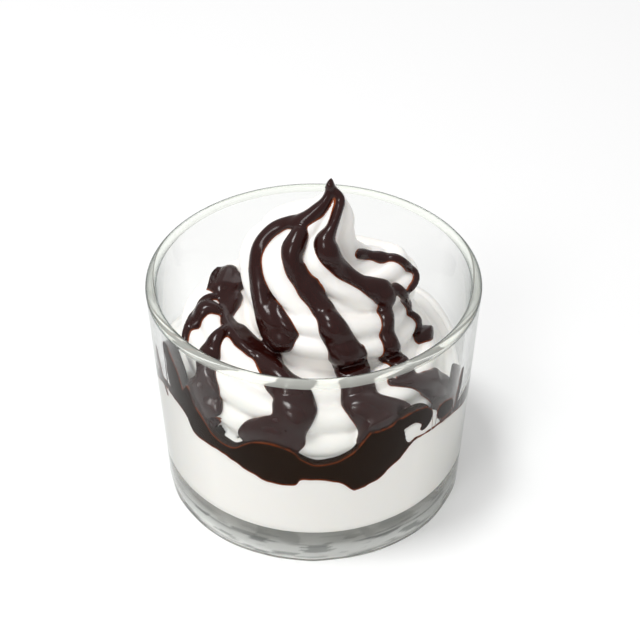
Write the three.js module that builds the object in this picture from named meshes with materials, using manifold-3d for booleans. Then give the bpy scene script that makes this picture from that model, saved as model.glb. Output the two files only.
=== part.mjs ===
// A hot fudge sundae in a low clear tumbler: soft ice cream below, a wavy layer of fudge
// that shows through the wall, and a piped swirl above the rim with thick strands of fudge.
// Millimetres, +Z up. The origin is the middle of the glass's underside, -Y is the front.
// Angles run round the glass in degrees: 0 is the front, 90 the right, 180 the back.

import * as THREE from 'three';
import { mergeVertices } from 'three/addons/utils/BufferGeometryUtils.js';
import Module from 'manifold-3d';

const wasm = await Module();
wasm.setup();

// The glass
const GLASS_HEIGHT = 64;
const RIM_RADIUS = 43;
const FOOT_RADIUS = 39.6;
const HEEL_ROUND = 2.2;
const WALL = 2.8;
const FLOOR_THICKNESS = 8.5;
const INNER_CORNER = 7;
const SIDES = 48;

// Food keeps this clear of the glass and of the next layer
const GAP = 0.3;
const LAYER_GAP = 0.4;

// Heights of the fudge layer in the middle of the glass
const LAYER_BOTTOM = 30;
const LAYER_TOP = 36.5;

// Where the fudge layer meets the wall: angle, lower edge, upper edge
const WALL_BAND = [
  [-180, 30, 37],
  [-150, 28, 38],
  [-120, 31, 37],
  [-95, 33, 41],
  [-75, 40, 45],
  [-66, 39.6, 46],
  [-58, 39, 47],
  [-52, 36.5, 47],
  [-48, 33.2, 44.6],
  [-42, 32.7, 39],
  [-35, 32, 36.1],
  [-31, 31.1, 35.9],
  [-27, 29.8, 37.7],
  [-22, 28.3, 40.1],
  [-16, 26.9, 40.9],
  [-9, 26.8, 39.7],
  [-4, 29.2, 36.4],
  [3, 29.1, 34.7],
  [9, 27.9, 35.7],
  [15, 24.6, 38.6],
  [20, 25.1, 43],
  [27, 27.3, 43.6],
  [33, 30.5, 45.2],
  [38, 34, 45.6],
  [43, 37, 43.6],
  [49, 38, 41.5],
  [56, 36, 41.5],
  [64, 35, 43],
  [75, 32, 41],
  [100, 28, 36],
  [130, 31, 39],
  [158, 27, 35],
  [180, 30, 37],
];

// The swirl is piped round this line; its peak leans away from it
const SWIRL_AXIS_X = 1;
const SWIRL_AXIS_Y = 1;

// Peak of the swirl: height, x of its middle, radius, turn of its flutes in degrees
const PEAK = [
  [28, 3, 22, 160],
  [40, 3, 22, 130],
  [50, 2.5, 21, 98],
  [56, 1.5, 19.5, 80],
  [62, 0.3, 19, 61],
  [67, -1.4, 17.6, 45],
  [72, -3.4, 15.2, 35],
  [76, -3, 13.5, 28],
  [79, -0.9, 11.1, 24],
  [82, 2.2, 8, 21],
  [85.5, 4.2, 5, 18],
  [88.6, 4.7, 2.5, 17],
  [90.6, 4.4, 1.4, 16],
];
const PEAK_TIP = new THREE.Vector3(3.7, 1, 92.5);
const PEAK_FLUTES = 6;
const PEAK_FLUTE_DEPTH = 0.3;

// Rope of ice cream coiled down round the peak: degrees along the coil, distance of its
// middle from the axis, height of its middle, radius of the rope
const COIL = [
  [45, 8, 61, 8],
  [75, 12.5, 60, 9.5],
  [105, 17, 58.3, 10.3],
  [140, 16, 55, 10],
  [180, 14, 54, 10],
  [270, 9, 55, 9.5],
  [360, 12.5, 56, 10.5],
  [450, 16, 47.5, 10],
  [495, 17.5, 45, 10],
  [540, 20, 45, 10.5],
  [585, 23, 46, 10.4],
  [630, 25.4, 46, 11],
  [675, 26.8, 43.5, 11.3],
  [720, 27, 38.7, 11.5],
  [765, 26, 38.5, 10.5],
  [810, 24, 37, 9.6],
  [880, 25, 34, 10],
  [920, 25, 31, 7],
];
const COIL_FLUTES = 8;
const COIL_FLUTE_DEPTH = 0.2;
const COIL_FLUTE_TWIST = 0.12;
const COIL_STEP = 18;
const COIL_PIECE = 180;
const NEAREST_TO_AXIS = 1;

// Strands of fudge: where each runs, as angle, distance from the glass's axis, height, width
const STRANDS = {
  front_left: [
    [94, 4.3, 91.7, 2],
    [70, 3, 88.2, 3.8],
    [-16, 1.4, 84.8, 5],
    [-76, 4, 81.9, 5.4],
    [-80, 8.5, 79.8, 5.4],
    [-77, 12.4, 77, 5.2],
    [-75, 14.9, 74.2, 5],
    [-70, 16.7, 69.9, 4.5],
    [-63, 17.7, 65.4, 4.2],
    [-53, 17.9, 61.2, 5.2],
    [-42, 18.1, 57.5, 7.4],
    [-30, 19.4, 55.5, 9.2],
    [-24, 18.9, 51.8, 8.4],
  ],
  front_left_film: [
    [-50, 15.5, 64.6, 2.2],
    [-35, 16.5, 63.3, 3.4],
    [-21, 18.7, 61.3, 4.4],
    [-15, 20.2, 57.9, 4.2],
    [-19, 18.7, 51.9, 3],
  ],
  front: [
    [-24, 5.1, 82.6, 5.6],
    [-29, 9, 79.8, 6.4],
    [-26, 11, 76.7, 6],
    [-17, 11.5, 72.3, 6.2],
    [0, 13.4, 67.6, 6.8],
    [12, 17.1, 63.9, 7.2],
    [18, 20.7, 59.6, 8.4],
    [22, 23.2, 54.9, 8.2],
    [24, 25.5, 51, 7.4],
    [23, 28.5, 48.6, 7.8],
    [22, 32.2, 47, 10.4],
    [25, 34.9, 44.4, 16],
    [29, 36.7, 39.7, 18],
    [27, 36.5, 35, 13],
  ],
  front_right: [
    [93, 5.6, 90.5, 1.8],
    [73, 6.3, 87.6, 1.8],
    [52, 7, 84.8, 2],
    [33, 7.8, 82.1, 3.7],
    [22, 9, 80.1, 5],
    [29, 10.4, 76.4, 5.2],
    [45, 11, 72.5, 5],
    [61, 11.6, 69.2, 5],
    [64, 16.9, 66.1, 5.6],
    [69, 20.1, 62.6, 6.8],
    [63, 20.2, 58.9, 4.8],
    [54, 22.5, 56.6, 4.2],
    [53, 24.9, 52.3, 4.4],
    [54, 27, 48.4, 5],
    [50, 30.5, 46.9, 6],
  ],
  right: [
    [70, 20.5, 62.6, 4.8],
    [87, 23.5, 56.4, 3.2],
    [87, 25.5, 51.4, 2.6],
    [90, 26.9, 46.5, 4],
    [85, 29.1, 45.5, 6.6],
    [86, 32.2, 44, 3.8],
  ],
  over_shoulder: [
    [71, 9.1, 73.5, 3],
    [94, 12.3, 71, 3.4],
    [96, 16.4, 68.8, 2.6],
    [93, 20.4, 68, 2.4],
    [99, 24.8, 63.4, 2],
    [94, 26.1, 61.9, 1.8],
    [86, 24.4, 60.7, 1.8],
  ],
  left: [
    [-125, 25.2, 56.2, 4],
    [-113, 24.8, 56.6, 7],
    [-102, 24, 56.2, 8],
    [-91, 23.7, 55.8, 6.4],
    [-79, 23.4, 55.6, 3.4],
    [-67, 24.5, 55.7, 2.8],
    [-60, 25.1, 55.6, 4.4],
    [-51, 24.5, 54.5, 6.8],
    [-43, 22.7, 52.9, 6.8],
    [-32, 22.5, 51.7, 6.6],
    [-18, 27.1, 52, 7.6],
    [-10, 29.3, 50, 11],
    [-10, 32.6, 48.3, 8.6],
    [-11, 35.2, 46.5, 7],
    [-13, 35.8, 42.2, 13],
    [-14, 37.4, 38.9, 14.5],
  ],
  left_low: [
    [-63, 25.5, 56.1, 2.8],
    [-58, 29.1, 55.3, 3.8],
    [-58, 30.7, 52.5, 5.2],
    [-52, 34, 51.7, 4.8],
    [-49, 35.6, 48.6, 6.2],
    [-48, 36.2, 44.6, 6.8],
    [-45, 36.7, 40.9, 7.4],
    [-43, 37, 37, 6.5],
  ],
  left_thin: [
    [-90, 26.2, 57.9, 3.2],
    [-86, 28.5, 57.6, 3.2],
    [-86, 30.4, 55.8, 3.6],
    [-78, 32.1, 53.9, 2.4],
    [-69, 34.4, 52.6, 2.2],
    [-67, 35.7, 50, 2.2],
  ],
  low_right: [
    [45, 29, 46.9, 5.2],
    [51, 33.1, 46.1, 7.6],
    [63, 35.3, 40.7, 8.2],
  ],
  back_left: [
    [-178, 12.5, 75, 3],
    [-160, 15, 69.5, 4.6],
    [-150, 18.5, 63, 5.6],
    [-145, 25, 57.5, 5.6],
    [-150, 31, 49, 6],
    [-152, 34, 41, 5],
  ],
  back: [
    [128, 5.7, 87, 2],
    [153, 7.8, 83, 2.6],
    [175, 11, 78, 4],
    [-176, 14, 72, 5],
    [-177, 18.5, 63, 6],
    [176, 24, 56, 6.6],
    [170, 29, 49, 5.6],
    [172, 32, 42, 5],
  ],
  back_right: [
    [176, 17, 66, 3],
    [165, 21, 61.5, 4.5],
    [155, 26, 57, 5],
    [148, 28, 49, 5],
    [145, 31, 44, 6.4],
    [143, 34, 39, 5],
  ],
};
const STRAND_STEP = 4;
const STRAND_SPREAD = 1.2;
const STRAND_SUNK = 1.8;
const STRAND_EDGE = 1;
const STRAND_ACROSS = [-1, -0.5, 0.5, 1];
const STRAND_THINNEST = 0.8;
const STRAND_FATTER_PER_WIDTH = 0.24;
const STRAND_THICKEST = 3;

// A smooth curve through rows of [place, value, value, ...]: gives the values at a place
function through(rows) {
  const places = rows.map((row) => row[0]);
  const last = rows.length - 1;
  const slope = (i, column) => {
    const before = Math.max(i - 1, 0);
    const after = Math.min(i + 1, last);
    return (rows[after][column] - rows[before][column]) / (places[after] - places[before]);
  };
  return (place) => {
    let i = 0;
    while (i < last - 1 && place > places[i + 1]) i += 1;
    const span = places[i + 1] - places[i];
    const t = THREE.MathUtils.clamp((place - places[i]) / span, 0, 1);
    const t2 = t * t;
    const t3 = t2 * t;
    return rows[i].slice(1).map((value, k) => {
      const column = k + 1;
      return (2 * t3 - 3 * t2 + 1) * value
        + (t3 - 2 * t2 + t) * span * slope(i, column)
        + (3 * t2 - 2 * t3) * rows[i + 1][column]
        + (t3 - t2) * span * slope(i + 1, column);
    });
  };
}

const radians = THREE.MathUtils.degToRad;

// A point from its angle round an axis, its distance from it and its height
function around(angle, distance, height, axisX = 0, axisY = 0) {
  const a = radians(angle);
  return new THREE.Vector3(axisX + distance * Math.sin(a), axisY - distance * Math.cos(a), height);
}

// How far out a fluted outline reaches at an angle in radians, as a part of its full radius:
// round ridges with a sharp groove between each two
function fluted(angle, count, depth) {
  const sharpness = 0.75;
  return 1 - depth + depth * Math.abs(Math.cos((count * angle) / 2)) ** sharpness;
}

// A closed skin over rings of points. Each four-sided face is split along its shorter
// diagonal, so that two faces that lie over each other are split alike. Each end is closed
// by a point, or by the triangles of a list that counts along the ring.
function skin(rings, start, end) {
  const count = rings[0].length;
  const points = rings.flat();
  const faces = [];
  for (let k = 0; k < rings.length - 1; k += 1) {
    for (let j = 0; j < count; j += 1) {
      const a = k * count + j;
      const b = k * count + ((j + 1) % count);
      const oneWay = points[a].distanceTo(points[b + count]);
      const otherWay = points[b].distanceTo(points[a + count]);
      if (oneWay < otherWay) {
        faces.push([a, b, b + count], [a, b + count, a + count]);
      } else {
        faces.push([a, b, a + count], [b, b + count, a + count]);
      }
    }
  }
  const close = (finish, first, turned) => {
    let triangles = finish;
    if (finish instanceof THREE.Vector3) {
      points.push(finish);
      const middle = points.length - 1 - first;
      triangles = rings[0].map((_, j) => [j, (j + 1) % count, middle]);
    }
    for (const [a, b, c] of triangles) {
      faces.push(turned ? [first + b, first + a, first + c] : [first + a, first + b, first + c]);
    }
  };
  close(start, 0, true);
  close(end, (rings.length - 1) * count, false);
  return closedGeometry(points, faces);
}

// A geometry from points and faces, turned so that its faces point out
function closedGeometry(points, faces) {
  let volume = 0;
  for (const [a, b, c] of faces) {
    volume += points[a].dot(new THREE.Vector3().crossVectors(points[b], points[c]));
  }
  const outward = volume > 0 ? faces : faces.map(([a, b, c]) => [a, c, b]);
  const geometry = new THREE.BufferGeometry();
  geometry.setAttribute('position', new THREE.Float32BufferAttribute(
    points.flatMap((p) => [p.x, p.y, p.z]), 3));
  geometry.setIndex(outward.flat());
  return geometry;
}

// A geometry as a solid that can be joined and cut, and back again
function toSolid(geometry) {
  return new wasm.Manifold(new wasm.Mesh({
    numProp: 3,
    vertProperties: new Float32Array(geometry.getAttribute('position').array),
    triVerts: new Uint32Array(geometry.getIndex().array),
  }));
}

function toGeometry(solid) {
  const mesh = solid.getMesh();
  const geometry = new THREE.BufferGeometry();
  geometry.setAttribute('position', new THREE.Float32BufferAttribute(mesh.vertProperties, 3));
  geometry.setIndex(Array.from(mesh.triVerts));
  return geometry;
}

// The largest body of a solid, without loose scraps and sealed hollows
function largestBody(solid) {
  const bodies = solid.decompose();
  return bodies.reduce((best, body) => (body.volume() > best.volume() ? body : best));
}

// Radius of the glass's inner and outer wall at a height
function outerRadius(height) {
  const rise = THREE.MathUtils.clamp(height / (GLASS_HEIGHT - WALL / 2), 0, 1);
  return THREE.MathUtils.lerp(FOOT_RADIUS, RIM_RADIUS, rise);
}

function innerRadius(height) {
  return outerRadius(height) - WALL;
}

// Points of an arc in the plane of radius and height, from one angle to another in degrees
function arc(middleRadius, middleHeight, radius, from, to, steps) {
  return Array.from({ length: steps + 1 }, (_, i) => {
    const a = radians(THREE.MathUtils.lerp(from, to, i / steps));
    return new THREE.Vector2(
      middleRadius + radius * Math.cos(a), middleHeight + radius * Math.sin(a));
  });
}

// A body turned round the Z axis from a profile of radius and height that starts and ends
// on the axis
function turned(profile) {
  const geometry = new THREE.LatheGeometry(profile, SIDES);
  geometry.rotateX(Math.PI / 2);
  geometry.deleteAttribute('normal');
  geometry.deleteAttribute('uv');
  const merged = mergeVertices(geometry, 1e-4);
  const position = merged.getAttribute('position');
  const points = Array.from({ length: position.count }, (_, i) => (
    new THREE.Vector3().fromBufferAttribute(position, i)));
  const index = merged.getIndex().array;
  const faces = [];
  for (let i = 0; i < index.length; i += 3) {
    const [a, b, c] = [index[i], index[i + 1], index[i + 2]];
    if (a !== b && b !== c && c !== a) faces.push([a, b, c]);
  }
  return closedGeometry(points, faces);
}

// The thick-bottomed glass with its round rim
function makeGlass() {
  const rimRound = WALL / 2;
  const rimMiddle = GLASS_HEIGHT - rimRound;
  const floorWall = innerRadius(FLOOR_THICKNESS + INNER_CORNER);
  const profile = [
    new THREE.Vector2(0, 0),
    ...arc(outerRadius(HEEL_ROUND) - HEEL_ROUND, HEEL_ROUND, HEEL_ROUND, -90, 0, 4),
    new THREE.Vector2(outerRadius(rimMiddle), rimMiddle),
    ...arc(outerRadius(rimMiddle) - rimRound, rimMiddle, rimRound, 0, 180, 6).slice(1),
    ...arc(floorWall - INNER_CORNER, FLOOR_THICKNESS + INNER_CORNER, INNER_CORNER, 0, -90, 5),
    new THREE.Vector2(0, FLOOR_THICKNESS),
  ];
  return turned(profile);
}

const bandAt = through(WALL_BAND);

// Height of the fudge layer's lower and upper face at a point: level in the middle of the
// glass and wavy where it meets the wall
function layerHeights(angle, distance) {
  const [low, high] = bandAt(angle);
  const middleEnds = 14;
  const reach = THREE.MathUtils.smoothstep(distance, middleEnds, innerRadius(LAYER_TOP));
  return {
    low: THREE.MathUtils.lerp(LAYER_BOTTOM, low, reach),
    high: THREE.MathUtils.lerp(LAYER_TOP, high, reach),
  };
}

const ringAngles = Array.from({ length: SIDES }, (_, j) => (j * 360) / SIDES - 180);
const ringParts = [1, 0.9, 0.8, 0.66, 0.46, 0.22];

// A ring on the fudge layer's lower or upper face, raised a little if asked
function faceRing(face, distanceAt, raise = 0) {
  return ringAngles.map((angle) => {
    const distance = distanceAt(angle);
    return around(angle, distance, layerHeights(angle, distance)[face] + raise);
  });
}

// Where the food's side stands inside the wall at the edge of one face
function wallDistance(face) {
  return (angle) => innerRadius(bandAt(angle)[face === 'low' ? 0 : 1]) - GAP;
}

// The soft ice cream that fills the glass below the fudge
function makeBase() {
  const floor = FLOOR_THICKNESS + GAP;
  const corner = arc(
    innerRadius(floor + INNER_CORNER) - GAP - INNER_CORNER, floor + INNER_CORNER, INNER_CORNER,
    -90, 0, 5);
  const rings = corner.map((p) => ringAngles.map((angle) => around(angle, p.x, p.y)));
  const atWall = wallDistance('low');
  for (const part of ringParts) {
    rings.push(faceRing('low', (angle) => atWall(angle) * part));
  }
  return skin(rings, new THREE.Vector3(0, 0, floor), new THREE.Vector3(0, 0, LAYER_BOTTOM));
}

// The layer of fudge that runs through the sundae and shows as a wavy band at the wall
function makeLayer() {
  const lowWall = wallDistance('low');
  const highWall = wallDistance('high');
  const inward = [...ringParts].reverse();
  const rings = [
    ...inward.map((part) => faceRing('low', (angle) => lowWall(angle) * part, LAYER_GAP)),
    ...ringParts.map((part) => faceRing('high', (angle) => highWall(angle) * part)),
  ];
  return skin(
    rings,
    new THREE.Vector3(0, 0, LAYER_BOTTOM + LAYER_GAP),
    new THREE.Vector3(0, 0, LAYER_TOP));
}

const peakAt = through(PEAK);
const coilAt = through(COIL);
const PEAK_START = PEAK[0][0];
const PEAK_END = PEAK[PEAK.length - 1][0];
const COIL_START = COIL[0][0];
const COIL_END = COIL[COIL.length - 1][0];

// The fluted, leaning peak of the swirl
function makePeak() {
  const flutePoints = 4;
  const levels = 20;
  const crowdedUpwards = 1.35;
  const rings = [];
  for (let k = 0; k <= levels; k += 1) {
    const rise = 1 - (1 - k / levels) ** crowdedUpwards;
    const height = THREE.MathUtils.lerp(PEAK_START, PEAK_END, rise);
    const [middle, radius, turn] = peakAt(height);
    const points = PEAK_FLUTES * flutePoints;
    rings.push(Array.from({ length: points }, (_, j) => {
      const fromRidge = (j * 360) / points;
      const reach = radius * fluted(radians(fromRidge), PEAK_FLUTES, PEAK_FLUTE_DEPTH);
      return around(turn + fromRidge, reach, height, middle, SWIRL_AXIS_Y);
    }));
  }
  return skin(rings, new THREE.Vector3(PEAK[0][1], SWIRL_AXIS_Y, PEAK_START), PEAK_TIP);
}

// Outline of the coiled rope where it crosses an upright plane through the axis
function ropeRing(along) {
  const flutePoints = 4;
  const [distance, height, radius] = coilAt(along);
  const points = COIL_FLUTES * flutePoints;
  return Array.from({ length: points }, (_, j) => {
    const fromRidge = (j * 360) / points;
    const a = radians(fromRidge + along * COIL_FLUTE_TWIST);
    const reach = radius * fluted(radians(fromRidge), COIL_FLUTES, COIL_FLUTE_DEPTH);
    const out = Math.max(distance + reach * Math.cos(a), NEAREST_TO_AXIS);
    return around(along, out, height + reach * Math.sin(a), SWIRL_AXIS_X, SWIRL_AXIS_Y);
  });
}

function ropeMiddle(along) {
  const [distance, height] = coilAt(along);
  return around(along, distance, height, SWIRL_AXIS_X, SWIRL_AXIS_Y);
}

// The rope in lengths of half a turn, so that no length crosses itself
function makeCoilPieces() {
  const overlap = COIL_STEP / 3;
  const pieces = [];
  for (let from = COIL_START; from < COIL_END; from += COIL_PIECE) {
    const to = Math.min(from + COIL_PIECE + overlap, COIL_END);
    const steps = Math.ceil((to - from) / COIL_STEP);
    const places = Array.from({ length: steps + 1 }, (_, i) => from + ((to - from) * i) / steps);
    pieces.push(skin(places.map(ropeRing), ropeMiddle(from), ropeMiddle(to)));
  }
  return pieces;
}

// About how far a point is outside the bare swirl, less than nothing inside it
function outsideSwirl(point) {
  const height = THREE.MathUtils.clamp(point.z, PEAK_START, PEAK_END);
  const [middle, radius, turn] = peakAt(height);
  const dx = point.x - middle;
  const dy = point.y - SWIRL_AXIS_Y;
  const peakAngle = Math.atan2(dx, -dy) - radians(turn);
  const peakReach = radius * fluted(peakAngle, PEAK_FLUTES, PEAK_FLUTE_DEPTH);
  const slant = 0.8;
  let nearest = (Math.hypot(dx, dy) - peakReach) * slant;
  nearest = Math.max(nearest, point.z - PEAK_TIP.z);

  const ax = point.x - SWIRL_AXIS_X;
  const ay = point.y - SWIRL_AXIS_Y;
  const out = Math.hypot(ax, ay);
  const turnAngle = (THREE.MathUtils.radToDeg(Math.atan2(ax, -ay)) + 360) % 360;
  for (let along = turnAngle; along <= COIL_END; along += 360) {
    if (along < COIL_START) continue;
    const [distance, ropeHeight, ropeRadius] = coilAt(along);
    const across = out - distance;
    const above = point.z - ropeHeight;
    const a = Math.atan2(above, across) - radians(along * COIL_FLUTE_TWIST);
    const reach = ropeRadius * fluted(a, COIL_FLUTES, COIL_FLUTE_DEPTH);
    nearest = Math.min(nearest, Math.hypot(across, above) - reach);
  }
  return nearest;
}

// Direction straight out of the swirl near a point, averaged over a small neighbourhood
function outOfSwirl(point) {
  const reach = 1.6;
  const direction = new THREE.Vector3();
  for (const axis of ['x', 'y', 'z']) {
    const more = point.clone();
    const less = point.clone();
    more[axis] += reach;
    less[axis] -= reach;
    direction[axis] = outsideSwirl(more) - outsideSwirl(less);
  }
  return direction.normalize();
}

// Moves a point along a direction onto the swirl's surface
function ontoSwirl(point, direction, farthest) {
  const moved = point.clone();
  const steps = 12;
  const part = 0.7;
  for (let i = 0; i < steps; i += 1) {
    moved.addScaledVector(direction, -part * outsideSwirl(moved));
  }
  const travel = moved.clone().sub(point).dot(direction);
  const limited = THREE.MathUtils.clamp(travel, -farthest, farthest);
  return point.clone().addScaledVector(direction, limited);
}

// How thick a strand stands at its middle, from its width
function strandThickness(width) {
  return Math.min(STRAND_THINNEST + STRAND_FATTER_PER_WIDTH * width, STRAND_THICKEST);
}

// Places along a strand, each with its point on the swirl and its width there
function strandStations(rows) {
  const points = rows.map(([angle, distance, height]) => around(angle, distance, height));
  const curve = new THREE.CatmullRomCurve3(points, false, 'centripetal');
  const widthAt = through(rows.map((row, i) => [i / (rows.length - 1), row[3]]));
  const steps = Math.round(curve.getLength() / STRAND_STEP);
  const bluntEnd = 0.45;
  const farthest = 4;
  return Array.from({ length: steps + 1 }, (_, i) => {
    const t = curve.getUtoTmapping(i / steps);
    const fromEnd = Math.min(i, steps - i) * STRAND_STEP;
    const width = widthAt(t)[0] * STRAND_SPREAD;
    const rounding = Math.min(1, bluntEnd + fromEnd / width);
    const rough = curve.getPoint(t);
    return { point: ontoSwirl(rough, outOfSwirl(rough), farthest), width: width * rounding };
  });
}

// One strand of fudge as short lengths that follow the swirl's surface
function makeStrandPieces(rows) {
  const stations = strandStations(rows);
  const sections = stations.map(({ point, width }, i) => {
    const before = stations[Math.max(i - 1, 0)].point;
    const after = stations[Math.min(i + 1, stations.length - 1)].point;
    const forward = after.clone().sub(before).normalize();
    const out = outOfSwirl(point);
    out.addScaledVector(forward, -out.dot(forward)).normalize();
    const side = new THREE.Vector3().crossVectors(forward, out);
    const feet = STRAND_ACROSS.map((u) => ontoSwirl(
      point.clone().addScaledVector(side, (u * width) / 2), out, width / 3));
    const top = feet.map((foot, k) => {
      const crown = Math.sqrt(Math.max(1 - STRAND_ACROSS[k] ** 2, 0));
      const rise = THREE.MathUtils.lerp(-STRAND_EDGE, strandThickness(width), crown);
      return foot.clone().addScaledVector(out, rise);
    });
    const bottom = feet.map((foot) => foot.clone().addScaledVector(out, -STRAND_SUNK));
    return [...top, ...bottom.reverse()];
  });
  const across = STRAND_ACROSS.length;
  const cap = [];
  for (let k = 0; k < across - 1; k += 1) {
    const below = 2 * across - 1 - k;
    cap.push([k, k + 1, below], [k + 1, below - 1, below]);
  }
  return sections.slice(1).map((section, i) => skin([sections[i], section], cap, cap));
}

// The space that the swirl may fill: inside the wall and above the fudge layer
function makeSwirlRoom() {
  const top = 120;
  const rings = [...ringParts].reverse().map((part) => (
    faceRing('high', (angle) => wallDistance('high')(angle) * part, LAYER_GAP)));
  for (const height of [GLASS_HEIGHT, top]) {
    rings.push(ringAngles.map((angle) => around(angle, innerRadius(height) - GAP, height)));
  }
  return skin(
    rings, new THREE.Vector3(0, 0, LAYER_TOP + LAYER_GAP), new THREE.Vector3(0, 0, top));
}

// The piped swirl with the strands of fudge fused onto it
function makeSwirl() {
  const pieces = [makePeak(), ...makeCoilPieces()];
  for (const rows of Object.values(STRANDS)) {
    pieces.push(...makeStrandPieces(rows));
  }
  const joined = pieces.map(toSolid).reduce((whole, piece) => whole.add(piece));
  const room = toSolid(makeSwirlRoom());
  return toGeometry(largestBody(joined.intersect(room)));
}

function named(name, geometry, color, roughness, opacity = 1) {
  geometry.computeVertexNormals();
  const material = new THREE.MeshStandardMaterial({
    color, roughness, metalness: 0, transparent: opacity < 1, opacity, flatShading: true });
  const mesh = new THREE.Mesh(geometry, material);
  mesh.name = name;
  return mesh;
}

const sundae = new THREE.Group();
sundae.add(named('glass', makeGlass(), 0xe4ece6, 0.05, 0.35));
sundae.add(named('ice_cream_base', makeBase(), 0xede8df, 0.5));
sundae.add(named('fudge_layer', makeLayer(), 0x2a140e, 0.2));
sundae.add(named('ice_cream_swirl', makeSwirl(), 0xf4f0e8, 0.45));

export default sundae;
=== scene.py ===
# %% [markdown]
# # A hot fudge sundae in a low clear tumbler
# The sundae is four things: a thick-bottomed glass, soft white ice cream that fills its lower
# half, a layer of dark fudge that shows as a wavy band at the wall, and a piped swirl with
# strands of fudge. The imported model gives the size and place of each. This lesson makes the
# fine surface of each one and its finish, in metres, with +Z up and the front at -Y.

# %% Load the frame
import math

import bpy
import numpy as np
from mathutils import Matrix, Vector, noise
from mathutils.bvhtree import BVHTree


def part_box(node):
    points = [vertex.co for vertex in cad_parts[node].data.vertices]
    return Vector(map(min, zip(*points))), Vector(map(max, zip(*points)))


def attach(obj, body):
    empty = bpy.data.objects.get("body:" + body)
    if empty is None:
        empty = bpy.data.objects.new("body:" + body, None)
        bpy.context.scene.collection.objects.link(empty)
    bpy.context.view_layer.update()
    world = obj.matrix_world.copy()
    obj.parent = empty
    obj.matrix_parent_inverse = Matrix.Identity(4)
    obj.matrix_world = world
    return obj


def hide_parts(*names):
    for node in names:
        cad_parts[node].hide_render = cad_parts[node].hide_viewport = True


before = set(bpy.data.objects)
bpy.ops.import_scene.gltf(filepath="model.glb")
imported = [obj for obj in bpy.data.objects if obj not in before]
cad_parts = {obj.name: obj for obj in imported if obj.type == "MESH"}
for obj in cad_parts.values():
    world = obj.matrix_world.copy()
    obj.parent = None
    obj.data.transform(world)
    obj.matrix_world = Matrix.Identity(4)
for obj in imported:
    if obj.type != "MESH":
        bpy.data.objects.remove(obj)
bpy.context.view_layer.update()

# %% [markdown]
# ## Sizes
# A tumbler like this is pressed in a mould, and a few heights, radii and thicknesses describe
# all of it. They could be measured off the solids, but as named numbers they can be read and
# changed. They are the sizes that the solids were made from, in millimetres, and MM turns them
# into metres. Only the floor is half a millimetre thinner, with a tighter corner inside: the
# glass of this scene bends light less than the real one, which would show them too high.

# %% Sizes of the glass
MM = 0.001
GLASS_HEIGHT = 64
RIM_RADIUS = 43
FOOT_RADIUS = 39.6
HEEL_ROUND = 2.2
WALL = 2.8
FLOOR_THICKNESS = 8
INNER_CORNER = 4.8
glass_low, glass_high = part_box("glass")
print("glass across, mm:", round((glass_high[0] - glass_low[0]) / MM, 2))

# %% [markdown]
# ## Helpers
# Round things are easy to describe by an angle, a distance from the axis and a height, and soft
# things by a smooth curve through a few measured places. These helpers turn both into points,
# and grids of points into meshes. Modelling by hand would do as well, but numbers give the same
# result each time.

# %% Helpers for places and smooth curves


def outer_radius(height):
    """Radius of the glass outside, in mm, at a height in mm."""
    rise = np.clip(np.asarray(height, float) / (GLASS_HEIGHT - WALL / 2), 0, 1)
    return FOOT_RADIUS + (RIM_RADIUS - FOOT_RADIUS) * rise


def inner_radius(height):
    """Radius of the glass inside, in mm."""
    return outer_radius(height) - WALL


def around(angle, distance, height, axis=(0, 0)):
    """Points from angles in degrees (0 front, 90 right), distances and heights in mm."""
    a = np.radians(angle)
    x = axis[0] + distance * np.sin(a)
    y = axis[1] - distance * np.cos(a)
    return np.stack(np.broadcast_arrays(x, y, np.asarray(height, float)), axis=-1)


def through(rows):
    """A smooth curve through rows of (place, value, ...): gives the values at places."""
    rows = np.array(rows, float)
    places, values = rows[:, 0], rows[:, 1:]
    before = np.maximum(np.arange(len(rows)) - 1, 0)
    after = np.minimum(np.arange(len(rows)) + 1, len(rows) - 1)
    slopes = (values[after] - values[before]) / (places[after] - places[before])[:, None]

    def at(place):
        place = np.atleast_1d(np.asarray(place, float))
        i = np.clip(np.searchsorted(places, place) - 1, 0, len(rows) - 2)
        span = (places[i + 1] - places[i])[:, None]
        t = np.clip((place[:, None] - places[i][:, None]) / span, 0, 1)
        keep, lead = 2 * t**3 - 3 * t**2 + 1, t**3 - 2 * t**2 + t
        return (keep * values[i] + lead * span * slopes[i]
                + (1 - keep) * values[i + 1] + (t**3 - t**2) * span * slopes[i + 1])
    return at


def smooth_step(value, low, high):
    """0 below low, 1 above high and a soft S between."""
    t = np.clip((value - low) / (high - low), 0, 1)
    return t * t * (3 - 2 * t)


print("inside of the glass at the rim, mm:", round(float(2 * inner_radius(GLASS_HEIGHT)), 1))

# %% Helpers that make meshes


def new_piece(name, points_mm, faces):
    """A mesh object from points in mm."""
    mesh = bpy.data.meshes.new(name)
    mesh.from_pydata((np.asarray(points_mm) * MM).tolist(), [], faces)
    mesh.update()
    piece = bpy.data.objects.new(name, mesh)
    bpy.context.scene.collection.objects.link(piece)
    return piece


def grid_faces(rings, count):
    """Faces of a tube of rings, each closed round."""
    ring, place = np.meshgrid(np.arange(rings - 1), np.arange(count), indexing="ij")
    a = ring * count + place
    b = ring * count + (place + 1) % count
    return np.stack([a, b, b + count, a + count], axis=-1).reshape(-1, 4).tolist()


def closed_tube(name, grid):
    """A closed piece from a grid of points [ring, place, xyz], with flat ends."""
    rings, count, _ = grid.shape
    faces = grid_faces(rings, count)
    faces.append(list(range(count - 1, -1, -1)))
    faces.append([(rings - 1) * count + j for j in range(count)])
    return new_piece(name, grid.reshape(-1, 3), faces)


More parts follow.
